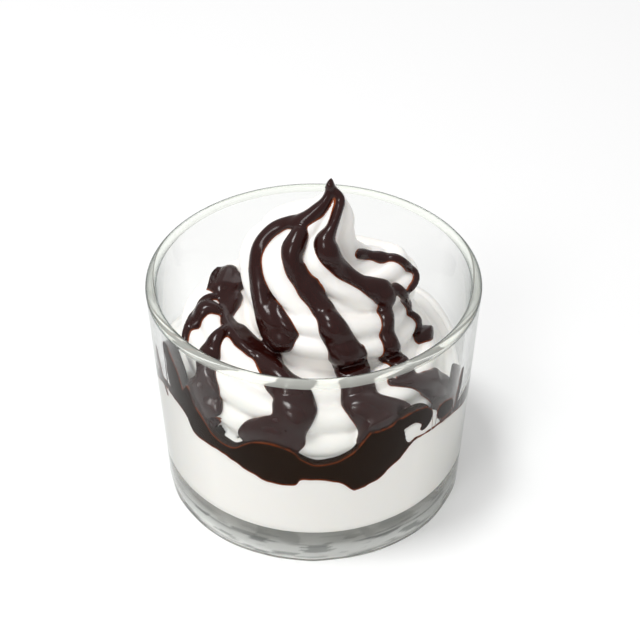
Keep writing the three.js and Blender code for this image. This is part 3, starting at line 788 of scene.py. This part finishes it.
def glass_profile():
    """Distance and height of points from the middle below, up the wall and down inside."""
    rim = WALL / 2
    rim_middle = GLASS_HEIGHT - rim
    corner_height = FLOOR_THICKNESS + INNER_CORNER
    heel = arc(outer_radius(HEEL_ROUND) - HEEL_ROUND, HEEL_ROUND, HEEL_ROUND, -90, 0, 10)
    lip = arc(outer_radius(rim_middle) - rim, rim_middle, rim, 0, 180, 24)
    inside = arc(inner_radius(corner_height) - INNER_CORNER, corner_height, INNER_CORNER, 0, -90, 20)
    wall_out = np.linspace(heel[-1], lip[0], OUTSIDE_ROWS)[1:-1]
    wall_in = np.linspace(lip[-1], inside[0], INSIDE_ROWS)[1:-1]
    across = np.linspace(MIDDLE_CAP, heel[0][0], UNDER_ROWS)[:-1]
    under = np.column_stack([across, HOLLOW_UNDER * (1 - smooth_step(across, *HOLLOW_ENDS))])
    to_axis = np.linspace(inside[-1][0], MIDDLE_CAP, INSIDE_ROWS)[1:]
    over = np.column_stack([to_axis, np.full(len(to_axis), float(FLOOR_THICKNESS))])
    return np.concatenate([under, heel, wall_out, lip, wall_in, inside, over])


profile = glass_profile()
print("points on the glass's outline:", len(profile))

# %% Turn the outline into the glass
TURN_STEPS = 240
WAVE_SIZE = 7
WAVE_DEPTH = 0.006
WAVES_END = (7, 12)
turn = np.linspace(0, 360, TURN_STEPS, endpoint=False)
grid = around(turn[None, :], profile[:, :1], profile[:, 1:])
waves = lumps(grid.reshape(-1, 3) * (1, 1, 0.25), WAVE_SIZE, 5).reshape(grid.shape[:2])
outside = (np.arange(len(grid)) < len(grid) // 2)[:, None]
low_outside = (1 - smooth_step(grid[..., 2], *WAVES_END)) * outside
grid[..., :2] *= 1 + (WAVE_DEPTH * waves * low_outside)[..., None]
glass = closed_tube("clear_glass", grid)
shade_smooth(glass)
say(glass)

# %% [markdown]
# In its thick base the real glass shows dark and light streaks: images of its own edges and
# of all that is around it, bent many times. Tracing those rays would take very long, so the
# streaks are painted as long flat lumps and a few thin rings, for the finish to read.

# %% Painted streaks in the base of the glass
STREAK_SIZE = 3.2
# The thin rings are painted dark lines too; the highest, just under the ice cream, is painted shade of
# its underside.
STREAK_RINGS = (1.2, 2.7, 7.2)
RING_WIDTH = 0.35
long_lumps = lumps(grid.reshape(-1, 3) * (0.4, 0.4, 3), STREAK_SIZE, 8).reshape(grid.shape[:2])
height = grid[..., 2]
rings = sum(np.exp(-((height - ring) / RING_WIDTH) ** 2) for ring in STREAK_RINGS)
DARKEST_LUMP = 0.8
DARKEST_RING = 0.7
DARKEST = 0.9
streak = DARKEST_LUMP * smooth_step(long_lumps, 0.13, 0.24)
streak = streak + DARKEST_RING * rings * smooth_step(waves, -0.4, 0)
streak *= low_outside * smooth_step(height, 0.4, 1)
paint(glass, "streak", np.clip(streak, 0, DARKEST).ravel())
print("streaked part of the glass:", round(float((streak > 0.5 * DARKEST).mean()), 3))

# %% [markdown]
# ## Finishes
# Each finish is one shader with a few numbers. They were found this way: a guess, a render from
# the photograph's place, and a look at both pictures side by side.

# %% Helpers for materials
def new_material(name):
    """A new material with its nodes and links."""
    material = bpy.data.materials.new(name)
    material.use_nodes = True
    return material, material.node_tree.nodes, material.node_tree.links


def finish_with(piece, material):
    """Gives a piece this material in place of any other."""
    piece.data.materials.clear()
    piece.data.materials.append(material)
    print(piece.name, "has the finish", material.name)


# %% [markdown]
# ### Ice cream
# Soft ice cream is white, yet it doesn't look like white paint: light goes a little way in and
# comes out beside where it went in, which fills the shadows in the grooves. Plain white would
# look like plaster. Subsurface light in the shader does what the real thing does, with a
# slightly warm colour and a low gloss for the film of melted cream.

# %% Ice cream
ice, nodes, links = new_material("soft_ice_cream")
shader = nodes["Principled BSDF"]
shader.inputs["Roughness"].default_value = 0.42
shader.inputs["Subsurface Weight"].default_value = 0.35
shader.inputs["Subsurface Radius"].default_value = (1.0, 0.85, 0.7)
shader.inputs["Subsurface Scale"].default_value = 0.002
shader.inputs["Base Color"].default_value = (0.91, 0.885, 0.85, 1)
for piece in (swirl, ice_base):
    finish_with(piece, ice)

# %% [markdown]
# ### Fudge
# Fudge is nearly black where it is thick and orange-brown where light gets through its edge. A
# volume that absorbs light would give both, but slowly and with noise. Here the value "thin",
# painted on the mesh before, picks a colour from a ramp. Against the wall fudge wets the glass
# and has no surface of its own that could shine, so the layer has a copy without reflection.

# %% Fudge
dark, nodes, links = new_material("hot_fudge")
shader = nodes["Principled BSDF"]
shader.inputs["Roughness"].default_value = 0.2
shader.inputs["Specular IOR Level"].default_value = 0.3
thin_mark = nodes.new("ShaderNodeAttribute")
thin_mark.attribute_name = "thin"
colours = nodes.new("ShaderNodeValToRGB")
colours.color_ramp.elements[0].color = (0.02, 0.003, 0.002, 1)
colours.color_ramp.elements[1].color = (0.23, 0.05, 0.012, 1)
colours.color_ramp.elements[1].position = 0.95
between = colours.color_ramp.elements.new(0.45)
between.color = (0.035, 0.009, 0.004, 1)
links.new(thin_mark.outputs["Fac"], colours.inputs["Fac"])
links.new(colours.outputs["Color"], shader.inputs["Base Color"])
finish_with(fudge, dark)

# %% Fudge against the wall
pressed = dark.copy()
pressed.name = "fudge_against_glass"
pressed_nodes = pressed.node_tree.nodes
pressed_nodes["Principled BSDF"].inputs["Specular IOR Level"].default_value = 0
pressed_colours = next(node for node in pressed_nodes if node.type == "VALTORGB").color_ramp
pressed_colours.elements[0].color = (0.012, 0.005, 0.002, 1)
finish_with(layer, pressed)

# %% [markdown]
# ### Glass
# Clear glass shows only where it bends or mirrors something. Real glass bends light by about
# 1.5. With 1.45 the thick base turned grey and grainy here, so a smaller value keeps it clean.
# A round glass looks dark at its outlines, because it shows what is beside it there. In a
# white room nothing dark is beside it, so a dark colour painted by the facing angle stands in
# for that reflection, and the value "streak" paints dark streaks in the base the same way.

# %% Glass
clear, nodes, links = new_material("clear_glass")
shader = nodes["Principled BSDF"]
shader.inputs["Roughness"].default_value = 0.0
shader.inputs["IOR"].default_value = 1.2
shader.inputs["Specular Tint"].default_value = (0.4, 0.4, 0.4, 1)
shader.inputs["Transmission Weight"].default_value = 1.0
# Painted dark reflection: the glass's light tint turns dark towards its outline, by facing angle.
facing = nodes.new("ShaderNodeLayerWeight")
facing.inputs["Blend"].default_value = 0.5
tint_and_painted_dark_edge = nodes.new("ShaderNodeValToRGB")
tint_and_painted_dark_edge.color_ramp.elements[0].position = 0.5
tint_and_painted_dark_edge.color_ramp.elements[0].color = (0.94, 0.945, 0.935, 1)
tint_and_painted_dark_edge.color_ramp.elements[1].position = 0.97
tint_and_painted_dark_edge.color_ramp.elements[1].color = (0.12, 0.14, 0.13, 1)
links.new(facing.outputs["Facing"], tint_and_painted_dark_edge.inputs["Fac"])
# Painted streaks: where the value "streak" is high, the glass's colour turns dark, as bent images of
# its surroundings would.
streak_mark = nodes.new("ShaderNodeAttribute")
streak_mark.attribute_name = "streak"
painted_streaks_mix = nodes.new("ShaderNodeMixRGB")
painted_streaks_mix.inputs["Color2"].default_value = (0.1, 0.105, 0.105, 1)
links.new(streak_mark.outputs["Fac"], painted_streaks_mix.inputs["Fac"])
links.new(tint_and_painted_dark_edge.outputs["Color"], painted_streaks_mix.inputs["Color1"])
links.new(painted_streaks_mix.outputs["Color"], shader.inputs["Base Color"])
print("the glass bends light by", round(shader.inputs["IOR"].default_value, 2))

# %% [markdown]
# A renderer can't find a lamp through bent glass, so what stands in it would lie in the dark.
# Rays that ask for shadow or for soft light therefore go straight through the wall. So do rays
# that have bounced many times inside it, which would otherwise end as black spots.

# %% Rays that go straight through the glass
DEEPEST_BOUNCE = 4
see_through = nodes.new("ShaderNodeBsdfTransparent")
see_through.inputs["Color"].default_value = (0.96, 0.97, 0.965, 1)


def straight_where(one, surface):
    """The surface, but see-through for the rays where the value is 1."""
    either = nodes.new("ShaderNodeMixShader")
    links.new(one, either.inputs["Fac"])
    links.new(surface, either.inputs[1])
    links.new(see_through.outputs["BSDF"], either.inputs[2])
    return either.outputs["Shader"]


light_path = nodes.new("ShaderNodeLightPath")
deep = nodes.new("ShaderNodeMath")
deep.operation = "GREATER_THAN"
deep.inputs[1].default_value = DEEPEST_BOUNCE
links.new(light_path.outputs["Ray Depth"], deep.inputs[0])
surface = straight_where(light_path.outputs["Is Shadow Ray"], shader.outputs["BSDF"])
surface = straight_where(light_path.outputs["Is Diffuse Ray"], surface)
surface = straight_where(deep.outputs["Value"], surface)
links.new(surface, nodes["Material Output"].inputs["Surface"])
finish_with(glass, clear)

# %% [markdown]
# The round rim gathers light from all sides, so it is brighter than the wall, with a dark line
# on each side. Both are painted: the rim has a copy of the glass that lets a little less through,
# so part of it is a pale painted colour, and its painted dark edge starts sooner.

# %% Glass of the rim, with painted light and painted dark edges
RIM_DEPTH = 0.6 * WALL
rim_glass = clear.copy()
rim_glass.name = "clear_glass_rim_painted_light"
rim_shader = rim_glass.node_tree.nodes["Principled BSDF"]
# Painted light: a third of the rim is a pale, dull colour in place of clear glass.
rim_shader.inputs["Transmission Weight"].default_value = 0.66
rim_painted_light_and_dark_edge = next(node for node in rim_glass.node_tree.nodes if node.type == "VALTORGB").color_ramp
rim_painted_light_and_dark_edge.elements[0].position = 0.3
rim_painted_light_and_dark_edge.elements[0].color = (0.93, 0.96, 0.89, 1)
rim_painted_light_and_dark_edge.elements[1].position = 0.68
rim_painted_light_and_dark_edge.elements[1].color = (0.09, 0.11, 0.1, 1)
glass.data.materials.append(rim_glass)
for face in glass.data.polygons:
    face.material_index = int(face.center.z > (GLASS_HEIGHT - RIM_DEPTH) * MM)
print("faces of the rim:", sum(face.material_index for face in glass.data.polygons))

# %% [markdown]
# ## Floor and light
# The glass stands on white paper under a soft lamp, high up at the left, so its shadow is short
# and falls to the right. A card at the front left puts the bright marks on the fudge, and a
# weak window behind lights the back. The surroundings could be a photograph of a studio, but a
# white that gets a little brighter with height is enough: it leaves the paper white, and glass
# and gloss have something to mirror.

# %% Floor
FLOOR_REACH = 3000
FLOOR_DROP = 0.1
corners = [(-1, -1), (1, -1), (1, 1), (-1, 1)]
floor_piece = new_piece(
    "studio_floor", [(x * FLOOR_REACH, y * FLOOR_REACH, -FLOOR_DROP) for x, y in corners],
    [(0, 1, 2, 3)])
paper, nodes, links = new_material("white_paper")
nodes["Principled BSDF"].inputs["Base Color"].default_value = (0.88, 0.88, 0.88, 1)
nodes["Principled BSDF"].inputs["Roughness"].default_value = 0.9
finish_with(floor_piece, paper)


# %% Lights
LIGHTS = (  # name, place, size, power
    ("key", (-0.34, -0.13, 0.94), 0.26, 4.8),
    ("front_card", (-0.38, -0.6, 0.62), 0.22, 1.6),
    ("back_window", (0.15, 0.75, 0.65), 0.5, 0.7),
)
AIM = Vector((0, 0, 0.05))


def soft_light(name, place, size, power):
    """A square lamp in metres and watts, turned towards the glass."""
    lamp = bpy.data.lights.new(name, "AREA")
    lamp.energy = power
    lamp.size = size
    light = bpy.data.objects.new(name, lamp)
    bpy.context.scene.collection.objects.link(light)
    light.location = place
    towards = AIM - Vector(place)
    light.rotation_euler = towards.to_track_quat("-Z", "Y").to_euler()


for lamp_row in LIGHTS:
    soft_light(*lamp_row)
print("lamps:", len(LIGHTS))

# %% The white surroundings
SKY_BRIGHTNESS = (0.5, 0.64)
SKY_HEIGHTS = (0.0, 0.6)
world = bpy.data.worlds.new("studio")
bpy.context.scene.world = world
world.use_nodes = True
sky = world.node_tree.nodes["Background"]
sky.inputs["Color"].default_value = (1, 1, 1, 1)
direction = world.node_tree.nodes.new("ShaderNodeTexCoord")
split = world.node_tree.nodes.new("ShaderNodeSeparateXYZ")
by_height = world.node_tree.nodes.new("ShaderNodeMapRange")
by_height.inputs["From Min"].default_value, by_height.inputs["From Max"].default_value = SKY_HEIGHTS
by_height.inputs["To Min"].default_value, by_height.inputs["To Max"].default_value = SKY_BRIGHTNESS
world.node_tree.links.new(direction.outputs["Generated"], split.inputs["Vector"])
world.node_tree.links.new(split.outputs["Z"], by_height.inputs["Value"])
world.node_tree.links.new(by_height.outputs["Result"], sky.inputs["Strength"])
bpy.context.scene.view_settings.view_transform = "Standard"
print("the surroundings' brightness is", SKY_BRIGHTNESS)

# %% [markdown]
# ## Put the pieces on the frame
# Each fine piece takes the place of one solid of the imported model, and the strands share the
# place of the swirl that they are fused to. Nothing in a sundae moves on its own, so every
# piece rides the one body.

# %% Ride and replace
REPLACED = {
    "glass": (glass, "glass"),
    "ice_cream_base": (ice_base, "ice_cream"),
    "fudge_layer": (layer, "fudge"),
    "ice_cream_swirl": (swirl, "ice_cream"),
}
for node, (piece, slot) in REPLACED.items():
    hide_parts(node)
    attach(piece, "root")
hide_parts("ice_cream_swirl")
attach(fudge, "root")
print("solids replaced:", sorted(REPLACED))
